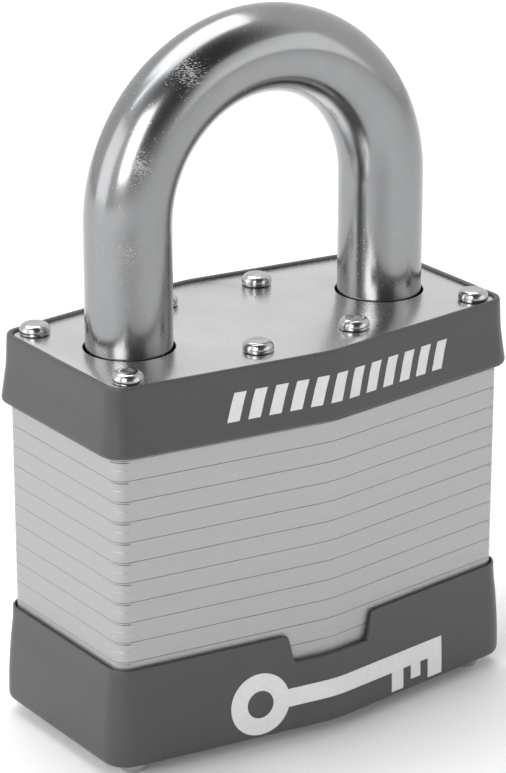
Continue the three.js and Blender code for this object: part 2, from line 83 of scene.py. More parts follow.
class Sketch:
    """One material's node tree, with short ways to add and wire its nodes."""

    def __init__(self, name: str) -> None:
        """Starts a material that holds one Principled shader.

        Args:
            name: The material's name.
        """
        self.material = bpy.data.materials.new(name)
        self.material.use_nodes = True
        self.tree = self.material.node_tree
        self.shader = self.tree.nodes["Principled BSDF"]

    def add(self, kind: str, inputs: dict | None = None, **settings: object) -> bpy.types.Node:
        """Adds a node.

        Args:
            kind: The node's type name.
            inputs: Values or sockets for its inputs, by name or number.
            **settings: Properties to set on it.

        Returns:
            The node.
        """
        node = self.tree.nodes.new(kind)
        for key, value in settings.items():
            setattr(node, key, value)
        for key, value in (inputs or {}).items():
            if isinstance(value, bpy.types.NodeSocket):
                self.tree.links.new(value, node.inputs[key])
            else:
                node.inputs[key].default_value = value
        return node

    def place(self, stretch: Point3 = (1, 1, 1), turn: Point3 = (0, 0, 0)) -> bpy.types.NodeSocket:
        """Gives the piece's own coordinates, stretched and turned.

        Args:
            stretch: The scale along each axis.
            turn: The rotation about each axis, in radians.

        Returns:
            The vector socket.
        """
        own = self.add("ShaderNodeTexCoord").outputs["Object"]
        mapping = self.add("ShaderNodeMapping", {"Vector": own, "Scale": stretch, "Rotation": turn})
        return mapping.outputs[0]

    def noise(self, where: bpy.types.NodeSocket, scale: float, detail: float = 3.0) -> bpy.types.NodeSocket:
        """Adds a noise texture.

        Args:
            where: The coordinates.
            scale: Its scale, in features per metre.
            detail: Its octaves.

        Returns:
            The factor socket.
        """
        node = self.add("ShaderNodeTexNoise", {"Vector": where, "Scale": scale, "Detail": detail})
        return node.outputs[0]

    def remap(
        self,
        value: bpy.types.NodeSocket,
        low: float,
        high: float,
        to_low: float = 0.0,
        to_high: float = 1.0,
    ) -> bpy.types.NodeSocket:
        """Maps a range of a value onto another and clamps it.

        Args:
            value: The socket to map.
            low: Where the range starts.
            high: Where it ends.
            to_low: What its start becomes.
            to_high: What its end becomes.

        Returns:
            The mapped socket.
        """
        node = self.add(
            "ShaderNodeMapRange", {0: value, 1: low, 2: high, 3: to_low, 4: to_high}, clamp=True
        )
        return node.outputs[0]

    def combine(
        self, how: str, first: bpy.types.NodeSocket, second: bpy.types.NodeSocket | float
    ) -> bpy.types.NodeSocket:
        """Adds a math node.

        Args:
            how: The operation.
            first: The first value.
            second: The second value.

        Returns:
            The result.
        """
        return self.add("ShaderNodeMath", {0: first, 1: second}, operation=how).outputs[0]

    def blend(
        self,
        share: bpy.types.NodeSocket,
        first: bpy.types.NodeSocket | Colour,
        second: bpy.types.NodeSocket | Colour,
    ) -> bpy.types.NodeSocket:
        """Mixes two colours.

        Args:
            share: How much of the second colour shows.
            first: The colour at 0.
            second: The colour at 1.

        Returns:
            The colour socket.
        """
        node = self.add("ShaderNodeMix", {0: share, 6: first, 7: second}, data_type="RGBA")
        return node.outputs[2]

    def relief(
        self,
        height: bpy.types.NodeSocket,
        depth: float,
        under: bpy.types.NodeSocket | None = None,
        strength: float = 1.0,
    ) -> bpy.types.NodeSocket:
        """Adds a bump.

        Args:
            height: The height, from 0 to 1.
            depth: The relief's depth in metres.
            under: A bump to lay this one over.
            strength: How much of it shows.

        Returns:
            The normal socket.
        """
        inputs = {"Height": height, "Distance": depth, "Strength": strength}
        if under is not None:
            inputs["Normal"] = under
        return self.add("ShaderNodeBump", inputs).outputs[0]

    def shade(self, **inputs: object) -> bpy.types.Material:
        """Sets or wires the shader's inputs.

        Args:
            **inputs: Values or sockets, by the input's name with _ for each space.

        Returns:
            The material.
        """
        for key, value in inputs.items():
            socket = self.shader.inputs[key.replace("_", " ")]
            if isinstance(value, bpy.types.NodeSocket):
                self.tree.links.new(value, socket)
            else:
                socket.default_value = value
        return self.material


def grey(level: float, warmth: float = 0.0) -> Colour:
    """A grey as a linear colour.

    Args:
        level: Its brightness.
        warmth: How much redder than blue it is.

    Returns:
        The colour.
    """
    return (level * (1 + warmth), level, level * (1 - warmth), 1.0)


@dataclass(frozen=True)
class ShackleChrome:
    """Satin chrome over steel, with rubbed places, hair scratches and small bright specks."""

    light: Colour = grey(0.315, -0.012)
    dull: Colour = grey(0.27, -0.012)
    worn_mark: Colour = grey(0.58, -0.012)
    smooth: float = 0.15
    rubbed: float = 0.23
    speck_cells: float = 3300.0
    rubs: Sequence[tuple[Point3, float, float]] = (
        ((-11.1, -3.6, 74.9), 3.3, 0.85),
        ((-18.0, -4.0, 66.1), 3.0, 0.85),
        ((-19.3, -4.1, 56.8), 4.2, 0.55),
    )

    def rub(
        self, s: Sketch, centre: Point3, radius: float, strength: float
    ) -> bpy.types.NodeSocket:
        """Marks out one rubbed place.

        Args:
            s: The material's sketch.
            centre: Its middle, in millimetres.
            radius: How far it reaches, in millimetres.
            strength: How thickly it is scratched in its middle.

        Returns:
            A socket that is the strength in its middle and 0 outside.
        """
        away = s.add(
            "ShaderNodeVectorMath",
            {0: s.place(), 1: [c * MM for c in centre]},
            operation="DISTANCE",
        )
        return s.remap(away.outputs["Value"], radius * MM, 0.0, 0.0, strength)

    def build(self) -> bpy.types.Material:
        """Makes the material.

        Returns:
            The material.
        """
        s = Sketch("shackle_satin_chrome")
        cloud = s.noise(s.place((1, 1, 0.5)), 110, 4)
        rubbed = self.rub(s, *self.rubs[0])
        for place in self.rubs[1:]:
            rubbed = s.combine("MAXIMUM", rubbed, self.rub(s, *place))
        hairs = [
            s.noise(s.place(stretch, turn), 1, 1)
            for stretch, turn in (
                ((600, 7000, 19000), (0.0, 0.25, 0.2)),
                ((800, 7000, 17000), (0.3, -0.5, 0.0)),
            )
        ]
        hair = s.combine("MAXIMUM", hairs[0], hairs[1])
        limit = s.remap(rubbed, 0.0, 0.8, 0.8, 0.55)
        scratches = s.remap(s.combine("SUBTRACT", hair, limit), 0.0, 0.05)
        cells = s.add("ShaderNodeTexVoronoi", {"Vector": s.place(), "Scale": self.speck_cells})
        dot = s.remap(cells.outputs["Distance"], 0.24, 0.08)
        chosen = s.add("ShaderNodeSeparateColor", {0: cells.outputs["Color"]}).outputs[0]
        crowd = s.remap(s.noise(s.place(), 130, 2), 0.42, 0.66, 0.01, 0.26)
        crowd = s.combine("ADD", crowd, s.combine("MULTIPLY", rubbed, 0.03))
        specks = s.combine("MULTIPLY", dot, s.combine("LESS_THAN", chosen, crowd))
        marks = s.combine("MAXIMUM", scratches, specks)
        grain = s.relief(s.noise(s.place((1, 1, 0.25)), 2600, 2), 0.0000010)
        plain = s.blend(s.remap(cloud, 0.3, 0.7), self.light, self.dull)
        worn = s.remap(cloud, 0.35, 0.65, self.smooth, self.rubbed)
        return s.shade(
            Base_Color=s.blend(marks, plain, self.worn_mark),
            Metallic=1.0,
            Roughness=s.combine("ADD", worn, s.combine("MULTIPLY", marks, 0.5)),
            Normal=s.relief(marks, 0.000004, grain),
        )


@dataclass(frozen=True)
class ShearedSteel:
    """The cut edges of the plates: light grey, nearly matte, with faint streaks along each plate."""

    light: Colour = grey(0.435)
    dark: Colour = grey(0.385)
    roughness: float = 0.48

    def build(self) -> bpy.types.Material:
        """Makes the material.

        Returns:
            The material.
        """
        s = Sketch("plate_sheared_steel")
        streak = s.noise(s.place((110, 110, 5200)), 1, 3)
        mottle = s.noise(s.place(), 5200, 3)
        shear = s.noise(s.place((2600, 2600, 260)), 1, 2)
        tone = s.combine("ADD", s.combine("MULTIPLY", streak, 0.3), s.combine("MULTIPLY", mottle, 0.7))
        normal = s.relief(streak, 0.000003, s.relief(shear, 0.0000025))
        return s.shade(
            Base_Color=s.blend(s.remap(tone, 0.3, 0.7), self.dark, self.light),
            Metallic=0.85,
            Roughness=s.remap(mottle, 0.3, 0.7, self.roughness - 0.05, self.roughness + 0.06),
            Normal=normal,
        )


@dataclass(frozen=True)
class GroundSteel:
    """The two cover plates: satin ground steel with a fine even grain."""

    light: Colour = grey(0.63)
    dark: Colour = grey(0.57)

    def build(self) -> bpy.types.Material:
        """Makes the material.

        Returns:
            The material.
        """
        s = Sketch("cover_ground_steel")
        grain = s.noise(s.place((2600, 5200, 3000)), 1, 2)
        cloud = s.noise(s.place(), 140, 3)
        return s.shade(
            Base_Color=s.blend(s.remap(cloud, 0.3, 0.7), self.dark, self.light),
            Metallic=1.0,
            Roughness=s.remap(grain, 0.3, 0.7, 0.23, 0.28),
            Normal=s.relief(grain, 0.0000003),
        )


@dataclass(frozen=True)
class RivetSteel:
    """Rivet heads: bright steel, polished by the setting tool."""

    light: Colour = grey(0.52)
    dark: Colour = grey(0.44)

    def build(self) -> bpy.types.Material:
        """Makes the material.

        Returns:
            The material.
        """
        s = Sketch("rivet_polished_steel")
        cloud = s.noise(s.place(), 900, 3)
        dents = s.noise(s.place(), 1500, 2)
        return s.shade(
            Base_Color=s.blend(s.remap(cloud, 0.3, 0.7), self.dark, self.light),
            Metallic=1.0,
            Roughness=s.remap(cloud, 0.3, 0.7, 0.12, 0.22),
            Normal=s.relief(dents, 0.000012),
        )


@dataclass(frozen=True)
class BumperPlastic:
    """Dark grey moulded plastic with a satin face and a fine moulded grain."""

    light: Colour = grey(0.054)
    dark: Colour = grey(0.050)
    roughness: float = 0.4

    def build(self) -> bpy.types.Material:
        """Makes the material.

        Returns:
            The material.
        """
        s = Sketch("bumper_moulded_plastic")
        grain = s.noise(s.place(), 5200, 2)
        cloud = s.noise(s.place(), 260, 3)
        return s.shade(
            Base_Color=s.blend(s.remap(cloud, 0.35, 0.65), self.dark, self.light),
            Metallic=0.0,
            Roughness=s.remap(cloud, 0.3, 0.7, self.roughness - 0.03, self.roughness + 0.05),
            Normal=s.relief(grain, 0.000012),
        )


@dataclass(frozen=True)
class PaleInk:
    """Pale grey printing on the bumpers."""

    light: Colour = grey(0.66)
    dark: Colour = grey(0.62)

    def build(self) -> bpy.types.Material:
        """Makes the material.

        Returns:
            The material.
        """
        s = Sketch("printed_pale_grey")
        mottle = s.noise(s.place(), 1800, 3)
        return s.shade(
            Base_Color=s.blend(s.remap(mottle, 0.35, 0.65), self.dark, self.light),
            Roughness=s.remap(mottle, 0.3, 0.7, 0.45, 0.55),
            Normal=s.relief(s.noise(s.place(), 5200, 2), 0.000005),
        )


@dataclass(frozen=True)
class TurnedMetal:
    """A machined metal with fine tool marks."""

    name: str
    light: Colour
    dark: Colour
    roughness: float

    def build(self) -> bpy.types.Material:
        """Makes the material.

        Returns:
            The material.
        """
        s = Sketch(self.name)
        rings = s.noise(s.place((500, 500, 4200)), 1, 3)
        cloud = s.noise(s.place(), 420, 3)
        return s.shade(
            Base_Color=s.blend(s.remap(cloud, 0.3, 0.7), self.dark, self.light),
            Metallic=1.0,
            Roughness=s.remap(rings, 0.3, 0.7, self.roughness - 0.06, self.roughness + 0.06),
            Normal=s.relief(rings, 0.000006),
        )


BRASS = TurnedMetal("cylinder_brass", (0.62, 0.42, 0.16, 1.0), (0.50, 0.33, 0.12, 1.0), 0.3)
STEEL = TurnedMetal("lock_steel", grey(0.46), grey(0.36), 0.32)
WIRE = TurnedMetal("spring_wire", grey(0.50, -0.02), grey(0.38, -0.02), 0.28)


# ---------------------------------------------------------------- meshes


def mesh_piece(
    name: str,
    points: Sequence[Point3],
    faces: Sequence[Sequence[int]],
    crease: float = 32.0,
) -> bpy.types.Object:
    """Makes a smooth-shaded mesh from points in millimetres.

    Args:
        name: The piece's name.
        points: Its vertices.
        faces: Its faces.
        crease: The angle in degrees above which an edge is drawn sharp.

    Returns:
        The object.
    """
    mesh = bpy.data.meshes.new(name)
    mesh.from_pydata([[c * MM for c in p] for p in points], [], faces)
    work = bmesh.new()
    work.from_mesh(mesh)
    bmesh.ops.remove_doubles(work, verts=work.verts, dist=1e-8)
    bmesh.ops.recalc_face_normals(work, faces=work.faces)
    work.to_mesh(mesh)
    work.free()
    mesh.shade_smooth()
    mesh.set_sharp_from_angle(angle=math.radians(crease))
    piece = bpy.data.objects.new(name, mesh)
    bpy.context.scene.collection.objects.link(piece)
    return piece


def strip(first: Sequence[int], second: Sequence[int]) -> list[list[int]]:
    """Joins two closed rings of vertices with quads.

    Args:
        first: One ring's vertex numbers.
        second: The other's, equally many.

    Returns:
        The faces.
    """
    around = len(first)
    return [
        [first[j], first[(j + 1) % around], second[(j + 1) % around], second[j]]
        for j in range(around)
    ]


def loft(rings: Sequence[Sequence[Point3]], closed: bool) -> tuple[list[Point3], list[list[int]]]:
    """Joins rings of equally many points.

    Args:
        rings: The rings.
        closed: True to join the last to the first; otherwise each end gets a face.

    Returns:
        The points and the faces.
    """
    around = len(rings[0])
    numbers = [list(range(i * around, (i + 1) * around)) for i in range(len(rings))]
    pairs = list(zip(numbers, numbers[1:]))
    if closed:
        pairs.append((numbers[-1], numbers[0]))
    faces = [face for first, second in pairs for face in strip(first, second)]
    if not closed:
        faces += [numbers[0][::-1], numbers[-1]]
    return [p for ring in rings for p in ring], faces


def circle(radius: float, sides: int, centre: Point2 = (0.0, 0.0)) -> list[Point2]:
    """Points on a circle in plan.

    Args:
        radius: Its radius.
        sides: How many points.
        centre: Its centre.

    Returns:
        The points.
    """
    step = 2 * math.pi / sides
    return [
        (centre[0] + radius * math.cos(n * step), centre[1] + radius * math.sin(n * step))
        for n in range(sides)
    ]


def turned(name: str, profile: Profile, sides: int, centre: Point2) -> bpy.types.Object:
    """Turns a profile of (radius, height) about an upright axis.

    Args:
        name: The piece's name.
        profile: Its profile, from one end to the other, both ends near the axis.
        sides: How many facets go round.
        centre: Where the axis stands.

    Returns:
        The object.
    """
    rings = [[(x, y, z) for x, y in circle(max(r, 0.002), sides, centre)] for r, z in profile]
    return mesh_piece(name, *loft(rings, closed=False))


def smooth_line(knots: Profile, steps: int) -> list[Point2]:
    """Draws a smooth line through knots.

    Args:
        knots: The points that it passes.
        steps: How many pieces each stretch is cut into.

    Returns:
        The points.
    """
    line: list[Point2] = []
    for i in range(len(knots) - 1):
        before, start = knots[max(i - 1, 0)], knots[i]
        end, after = knots[i + 1], knots[min(i + 2, len(knots) - 1)]
        for n in range(steps):
            t = n / steps
            point = []
            for a, b, c, d in zip(before, start, end, after):
                square, cube = 2 * a - 5 * b + 4 * c - d, 3 * b - a - 3 * c + d
                point.append(0.5 * (2 * b + (c - a) * t + square * t**2 + cube * t**3))
            line.append(tuple(point))
    line.append(tuple(knots[-1]))
    return line


def at_height(line: Profile, z: float) -> float:
    """Reads the first value of a line of (value, height) at a height.

    Args:
        line: The line, in order of height, either way.
        z: The height.

    Returns:
        The value there.
    """
    rising = sorted(line, key=lambda p: p[1])
    if z <= rising[0][1]:
        return rising[0][0]
    for (v0, z0), (v1, z1) in zip(rising, rising[1:]):
        if z <= z1:
            return v0 + (v1 - v0) * (z - z0) / max(z1 - z0, 1e-9)
    return rising[-1][0]


@dataclass(frozen=True)
class Outline:
    """The body's outline in plan: straight ends and long sides that come to a soft peak."""

    half_width: float = 25.79
    end_half_depth: float = 11.04
    peak_half_depth: float = 14.27
    corner_radius: float = 1.85
    peak_radius: float = 12.0
    corner_steps: int = 12
    peak_steps: int = 10
    fine_start: float = 4.4
    fine_length: float = 2.9
    fine_clear: float = 7.2

    def slope(self) -> float:
        """The angle of a long side to the width, in radians."""
        return math.atan2(self.peak_half_depth - self.end_half_depth, self.half_width)

    def stations(self, step: float = 1.3, fine: float | None = None) -> list[tuple[Vector, Vector]]:
        """Points along the outline, with their outward directions.

        Args:
            step: The spacing along the straights.
            fine: The spacing round the notch in the front, if it is closer there.

        Returns:
            Pairs of point and outward direction, anticlockwise from above.
        """
        w, e, p = self.half_width, self.end_half_depth, self.peak_half_depth
        corners = [
            (-w, -e, self.corner_radius, self.corner_steps),
            (0.0, -p, self.peak_radius, self.peak_steps),
            (w, -e, self.corner_radius, self.corner_steps),
            (w, e, self.corner_radius, self.corner_steps),
            (0.0, p, self.peak_radius, self.peak_steps),
            (-w, e, self.corner_radius, self.corner_steps),
        ]
        arcs = []
        for n, (x, y, radius, steps) in enumerate(corners):
            here = Vector((x, y))
            back = (Vector(corners[n - 1][:2]) - here).normalized()
            on = (Vector(corners[(n + 1) % 6][:2]) - here).normalized()
            half = back.angle(on) / 2
            centre = here + (back + on).normalized() * (radius / math.sin(half))
            start = here + back * (radius / math.tan(half)) - centre
            arc = []
            for k in range(steps + 1):
                turn = Matrix.Rotation((math.pi - 2 * half) * k / steps, 2)
                out = turn @ start
                arc.append((centre + out, out.normalized()))
            arcs.append(arc)
        found = []
        for n, arc in enumerate(arcs):
            found += arc
            (a, out), (b, _) = arc[-1], arcs[(n + 1) % 6][0]
            front = out.y < -0.9
            spots = [k * step / (b - a).length for k in range(1, int((b - a).length / step) + 1)]
            if fine and front:
                spots = [t for t in spots if abs(a.lerp(b, t).x) > self.fine_clear]
                count = int(self.fine_length / fine)
                side = 1 if (a.x + b.x) > 0 else -1
                for k in range(count + 1):
                    x = side * (self.fine_start + self.fine_length * k / count)
                    if min(abs(a.x), abs(b.x)) < abs(x):
                        spots.append((x - a.x) / (b.x - a.x))
            found += [(a.lerp(b, t), out) for t in sorted(spots) if 0.004 < t < 0.996]
        return found

    def loop(self, grow: float, corner: float = 0.0) -> list[Point2]:
        """The outline moved outwards, as plain points.

        Args:
            grow: How far outwards.
            corner: How much further at the four tight corners.

        Returns:
            The points.
        """
        side, end = math.sin(self.slope()) + 0.02, 0.995
        return [
            tuple(p + out * (grow + (corner if side < abs(out.x) < end else 0.0)))
            for p, out in self.stations(step=60.0)
        ]

    def front_y(self, x: float, grow: float) -> float:
        """Where the front face is, seen from above.

        Args:
            x: The place along the width.
            grow: How far outside the outline.

        Returns:
            The y there.
        """
        slope = self.slope()
        reach = self.peak_radius * math.sin(slope)
        flat = -(self.peak_half_depth - abs(x) * math.tan(slope)) - grow / math.cos(slope)
        if abs(x) >= reach:
            return flat
        radius = self.peak_radius + grow
        edge = -(self.peak_half_depth - reach * math.tan(slope)) - grow / math.cos(slope)
        return edge - (math.sqrt(radius**2 - x**2) - math.sqrt(radius**2 - reach**2))


Loop = Callable[[float, float], list[Point2]]


def slab(
    name: str, loops: Sequence[Loop], low: float, high: float, edge: Point2, marks: Profile = ()
) -> bpy.types.Object:
    """A flat plate with holes, whose edges are all slightly rounded.

    Args:
        name: The piece's name.
        loops: Its outline and its holes; each gives its points for a growth of the metal, and
            for a growth of the outline's tight corners alone.
        low: The height of its underside.
        high: The height of its top.
        edge: How far its rounded edges reach inwards, and down the side.
        marks: The relief of the outline's tight corners, as (outwards, below the top).

    Returns:
        The object.
    """
    arc = [n * math.pi / 6 for n in range(4)]
    deep, tall = edge
    flat = 0.04
    upper = [(-deep * (1 - math.sin(a)), 0.0, high - tall * (1 - math.cos(a))) for a in arc]
    lower = [(-deep * (1 - math.sin(a)), 0.0, low + tall * (1 - math.cos(a))) for a in arc[::-1]]
    upper.append((0.0, 0.0, high - tall - flat))
    lower.insert(0, (0.0, 0.0, low + tall + flat))
    relief = [(0.0, out, high - below) for out, below in marks]
    work = bmesh.new()
    caps: tuple[list, list] = ([], [])
    for n, loop in enumerate(loops):
        profile = [*upper, *lower] if n else [*upper, *relief, *lower]
        rings = [
            [work.verts.new((x * MM, y * MM, z * MM)) for x, y in loop(grow, corner)]
            for grow, corner, z in profile
        ]
        for first, second in zip(rings, rings[1:]):
            for j in range(len(first)):
                k = (j + 1) % len(first)
                work.faces.new((first[j], first[k], second[k], second[j]))
        for cap, ring in zip(caps, (rings[0], rings[-1])):
            cap += [work.edges.get((ring[j], ring[(j + 1) % len(ring)])) for j in range(len(ring))]
    for cap in caps:
        bmesh.ops.triangle_fill(work, use_beauty=True, use_dissolve=False, edges=cap)
    bmesh.ops.recalc_face_normals(work, faces=work.faces)
    mesh = bpy.data.meshes.new(name)
    work.to_mesh(mesh)
    work.free()
    mesh.shade_smooth()
    mesh.set_sharp_from_angle(angle=math.radians(40))
    piece = bpy.data.objects.new(name, mesh)
    bpy.context.scene.collection.objects.link(piece)
    return piece


def hole(radius: float, centre: Point2, sides: int = 48) -> Loop:
    """A round hole for a slab.

    Args:
        radius: Its radius.
        centre: Its centre.
        sides: How many points go round.

    Returns:
        Its loop.
    """
    return lambda grow, corner: circle(radius - grow, sides, centre)


def fit(piece: bpy.types.Object, finish: bpy.types.Material, body: Body, slot: Slot, *nodes: str) -> None:
    """Dresses a piece and ties it to the frame.

    Args:
        piece: The piece.
        finish: Its material.
        body: The body that it rides on.
        slot: The material slot meant for it in the record; not used.
        *nodes: The frame's nodes that it stands for.
    """
    piece.data.materials.clear()
    piece.data.materials.append(finish)
    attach(piece, body.value)
    if nodes:
        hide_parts(*nodes)
    log.info("%s rides on %s", piece.name, body.value)


def span(node: str) -> tuple[float, float]:
    """The heights between which a node of the frame stands.

    Args:
        node: Its name.

    Returns:
        Its lowest and highest z, in millimetres.
    """
    low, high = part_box(node)
    return low.z / MM, high.z / MM


# ---------------------------------------------------------------- sub-assemblies


@dataclass
class PlateStack:
    """The riveted stack: a cover plate at each end and the laminations between them."""

    outline: Outline = field(default_factory=Outline)
    laminations: int = 16
    cover_inset: float = 0.35
    plate_edge: Point2 = (0.15, 0.04)
    cover_edge: Point2 = (0.14, 0.14)
    corner_marks: Profile = (
        (0.0, 0.11), (0.0, 0.15), (-0.09, 0.23), (0.0, 0.31), (0.0, 0.35), (0.0, 1.06),
        (0.0, 1.1), (0.035, 1.17), (0.0, 1.24), (0.0, 1.28),
    )
    leg_x: float = 16.86
    bore_radius: float = 5.0
    wide_bore_radius: float = 6.17
    nose_hole_radius: float = 4.82
    plug_centre: Point2 = (0.0, -3.0)
    narrow_from: int = 12

    def bores(self, level: int) -> list[Loop]:
        """The holes that a plate shows when the shackle is up.

        Args:
            level: The plate's place in the stack, 0 for the bottom plate.

        Returns:
            The holes.
        """
        if level == 0:
            return [hole(self.nose_hole_radius, self.plug_centre)]
        if level < self.narrow_from:
            return [hole(self.wide_bore_radius, (-self.leg_x, 0.0))]
        return [hole(self.bore_radius, (x, 0.0)) for x in (-self.leg_x, self.leg_x)]

    def build(self, steel: bpy.types.Material, ground: bpy.types.Material) -> None:
        """Makes and dresses every plate.

        Args:
            steel: The finish of the laminations.
            ground: The finish of the cover plates.
        """
        names = ["bottom_plate"]
        names += [f"lamination_{n:02d}" for n in range(1, self.laminations + 1)]
        names += ["top_plate"]
        for level, node in enumerate(names):
            cover = level in (0, len(names) - 1)
            inset = self.cover_inset if cover else 0.0
            loops = [
                lambda grow, corner, inset=inset: self.outline.loop(grow - inset, corner),
                *self.bores(level),
            ]
            low, high = span(node)
            edge = self.cover_edge if cover else self.plate_edge
            marks = () if cover else self.corner_marks
            piece = slab(f"{node}_sheet", loops, low, high, edge, marks)
            fit(piece, ground if cover else steel, Body.CASE, Slot.COVER if cover else Slot.PLATE, node)


@dataclass
class Rivets:
    """The rivets through the stack, each with a dished, rounded head at both ends."""

    count: int = 8
    head: Profile = (
        (0.0, 0.07), (0.45, 0.06), (0.8, 0.02), (1.02, 0.0), (1.24, 0.05), (1.46, 0.2), (1.62, 0.42),
        (1.71, 0.7), (1.72, 0.95), (1.66, 1.12), (1.5, 1.185),
    )
    collar: float = 1.185
    shank_radius: float = 1.2

    def build(self, finish: bpy.types.Material) -> None:
        """Makes and dresses every rivet.

        Args:
            finish: Their material.
        """
        for n in range(1, self.count + 1):
            low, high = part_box(f"rivet_{n}")
            centre = ((low.x + high.x) / 2 / MM, (low.y + high.y) / 2 / MM)
            bottom, top = low.z / MM, high.z / MM
            lower = [(r, bottom + z) for r, z in self.head]
            lower.append((self.shank_radius, bottom + self.collar))
            upper = [(r, top - (z - bottom)) for r, z in reversed(lower)]
            piece = turned(f"rivet_{n}_set", [*lower, *upper], 40, centre)
            fit(piece, finish, Body.CASE, Slot.RIVET, f"rivet_{n}")


@dataclass
class Bumper:
    """A moulded collar round one end of the stack."""

    node: str
    datum: float
    wall: Profile
    inner: Profile
    outline: Outline = field(default_factory=Outline)

    def wall_line(self) -> list[Point2]:
        """The outer wall as (outwards, height), smooth and at its real height."""
        return [(out, self.datum + z) for out, z in smooth_line(self.wall, 4)]

    def build(self, finish: bpy.types.Material) -> None:
        """Makes and dresses the collar.

        Args:
            finish: Its material.
        """
        levels = [*self.wall_line(), *[(out, self.datum + z) for out, z in self.inner]]
        stations = self.outline.stations(step=2.0)
        rings = [[(*(p + out * grow), z) for p, out in stations] for grow, z in levels]
        piece = mesh_piece(f"{self.node}_moulding", *loft(rings, closed=True), crease=50)
        fit(piece, finish, Body.CASE, Slot.BUMPER, self.node)


@dataclass
class NotchedBumper(Bumper):
    """The lower collar, with a notch in the front of its upper lip."""

    gap: float = 0.26
    lip_round: float = 0.15
    notch_top: float = 5.65
    notch_floor: float = 5.0
    notch_depth: float = 3.25
    notch_round: float = 0.22
    shoulder: float = 0.45
    follow: float = 4.2
    spacing: float = 0.16

    def lip_drop(self, x: float, y: float) -> float:
        """How far the lip is cut down at a place on the outline.

        Args:
            x: The place along the width.
            y: The place along the depth.

        Returns:
            The drop.
        """
        if y > 0:
            return 0.0
        samples = 9
        total = 0.0
        for n in range(samples):
            at = abs(x) + self.notch_round * (2 * n / (samples - 1) - 1)
            share = (self.notch_top - at) / (self.notch_top - self.notch_floor)
            total += min(max(share, 0.0), 1.0)
        return self.notch_depth * total / samples

    def build(self, finish: bpy.types.Material) -> None:
        """Makes and dresses the collar.

        Args:
            finish: Its material.
        """
        line = self.wall_line()
        full = max(z for _, z in line)
        foot = min(z for _, z in line)
        shoulder = [p for p in line if p[1] < full - self.shoulder]
        shares = [(z - foot) / (full - foot) for _, z in shoulder]
        inner = [(out, self.datum + z) for out, z in self.inner]
        r = self.lip_round
        quarter = [math.pi / 2 * n / 4 for n in range(5)]
        rings: list[list[Point3]] = [[] for _ in range(len(shoulder) + 2 * len(quarter) + len(inner))]
        for p, out in self.outline.stations(step=2.0, fine=self.spacing):
            lip = full - self.lip_drop(p.x, p.y)
            edge = at_height(line, lip - r)
            column = [(self.gap + r * (1 - math.cos(a)), lip - r * (1 - math.sin(a))) for a in quarter]
            column = [(min(g, edge - r * 0.4), z) for g, z in column]
            column += [(edge - r * (1 - math.sin(a)), lip - r * (1 - math.cos(a))) for a in quarter]
            for (grow, z), share in zip(shoulder, shares):
                spot = min(z, foot + share * (lip - foot))
                column.append((grow if z < lip - self.follow else at_height(line, spot), spot))
            column += inner
            for ring, (grow, z) in zip(rings, column):
                ring.append((*(p + out * grow), z))
        piece = mesh_piece(f"{self.node}_moulding", *loft(rings, closed=True), crease=50)
        fit(piece, finish, Body.CASE, Slot.BUMPER, self.node)


Corner = Callable[[float, float], Point2]
Mark = tuple[Corner, int, int, bool]


@dataclass
class Printing:
    """Plain pale marks printed on the front of a bumper: slanted bars, or a simple key shape."""

    bumper: Bumper
    proud: float = 0.035
    sunk: float = 0.12

    def patch(self, corner: Corner, across: int, up: int, ring: bool) -> tuple[list, list]:
        """A thin closed patch that follows the bumper's face.

        Args:
            corner: Gives the (x, z) of each (u, v) from 0 to 1.
            across: Steps along u.
            up: Steps along v.
            ring: True if the patch's last column is its first one again.

        Returns:
            Its points and faces.
        """
        line = self.bumper.wall_line()
        columns = across if ring else across + 1
        row, sheet = up + 1, columns * (up + 1)
        points: list[Point3] = []
        for lift in (self.proud, -self.sunk):
            for i in range(columns):
                for j in range(row):
                    x, z = corner(i / across, j / up)
                    points.append((x, self.bumper.outline.front_y(x, at_height(line, z) + lift), z))
        faces = []
        for side in (0, sheet):
            for i in range(across):
                for j in range(up):
                    a, b = side + i * row + j, side + (i + 1) % columns * row + j
                    faces.append([a, b, b + 1, a + 1])
        if ring:
            rims = [[i * row for i in range(columns)], [i * row + up for i in range(columns)]]
        else:
            rim = [i * row for i in range(across)] + [across * row + j for j in range(up)]
            rims = [rim + [i * row + up for i in range(across, 0, -1)] + list(range(up, 0, -1))]
        for rim in rims:
            faces += strip(rim, [n + sheet for n in rim])
        return points, faces

    def marks(self) -> list[Mark]:
        """The patches of this print, which each kind of print gives."""
        return []

    def build(self, name: str, finish: bpy.types.Material) -> None:
        """Makes and dresses the print as one piece.

        Args:
            name: Its name.
            finish: Its material.
        """
        points: list[Point3] = []
        faces: list[list[int]] = []
        for mark in self.marks():
            more, quads = self.patch(*mark)
            faces += [[n + len(points) for n in quad] for quad in quads]
            points += more
        piece = mesh_piece(name, points, faces, crease=40)
        fit(piece, finish, Body.CASE, Slot.BUMPER)


@dataclass
class SlantedBars(Printing):
    """A row of short slanted bars."""

    count: int = 12
    pitch: float = 2.5
    width: float = 1.45
    height: float = 3.1
    slant: float = 1.1
    middle: Point2 = (1.6, 0.0)

    def marks(self) -> list[Mark]:
        """One patch for each bar.

        Returns:
            The patches.
        """
        first = self.middle[0] - self.pitch * (self.count - 1) / 2

        def bar(n: int) -> Corner:
            """The face of one bar.

            Args:
                n: Its number from the left.

            Returns:
                Its corners.
            """
            left = first + n * self.pitch - self.width / 2
            low = self.middle[1] - self.height / 2
            return lambda u, v: (left + u * self.width + (v - 0.5) * self.slant, low + v * self.height)

        return [(bar(n), 3, 6, False) for n in range(self.count)]


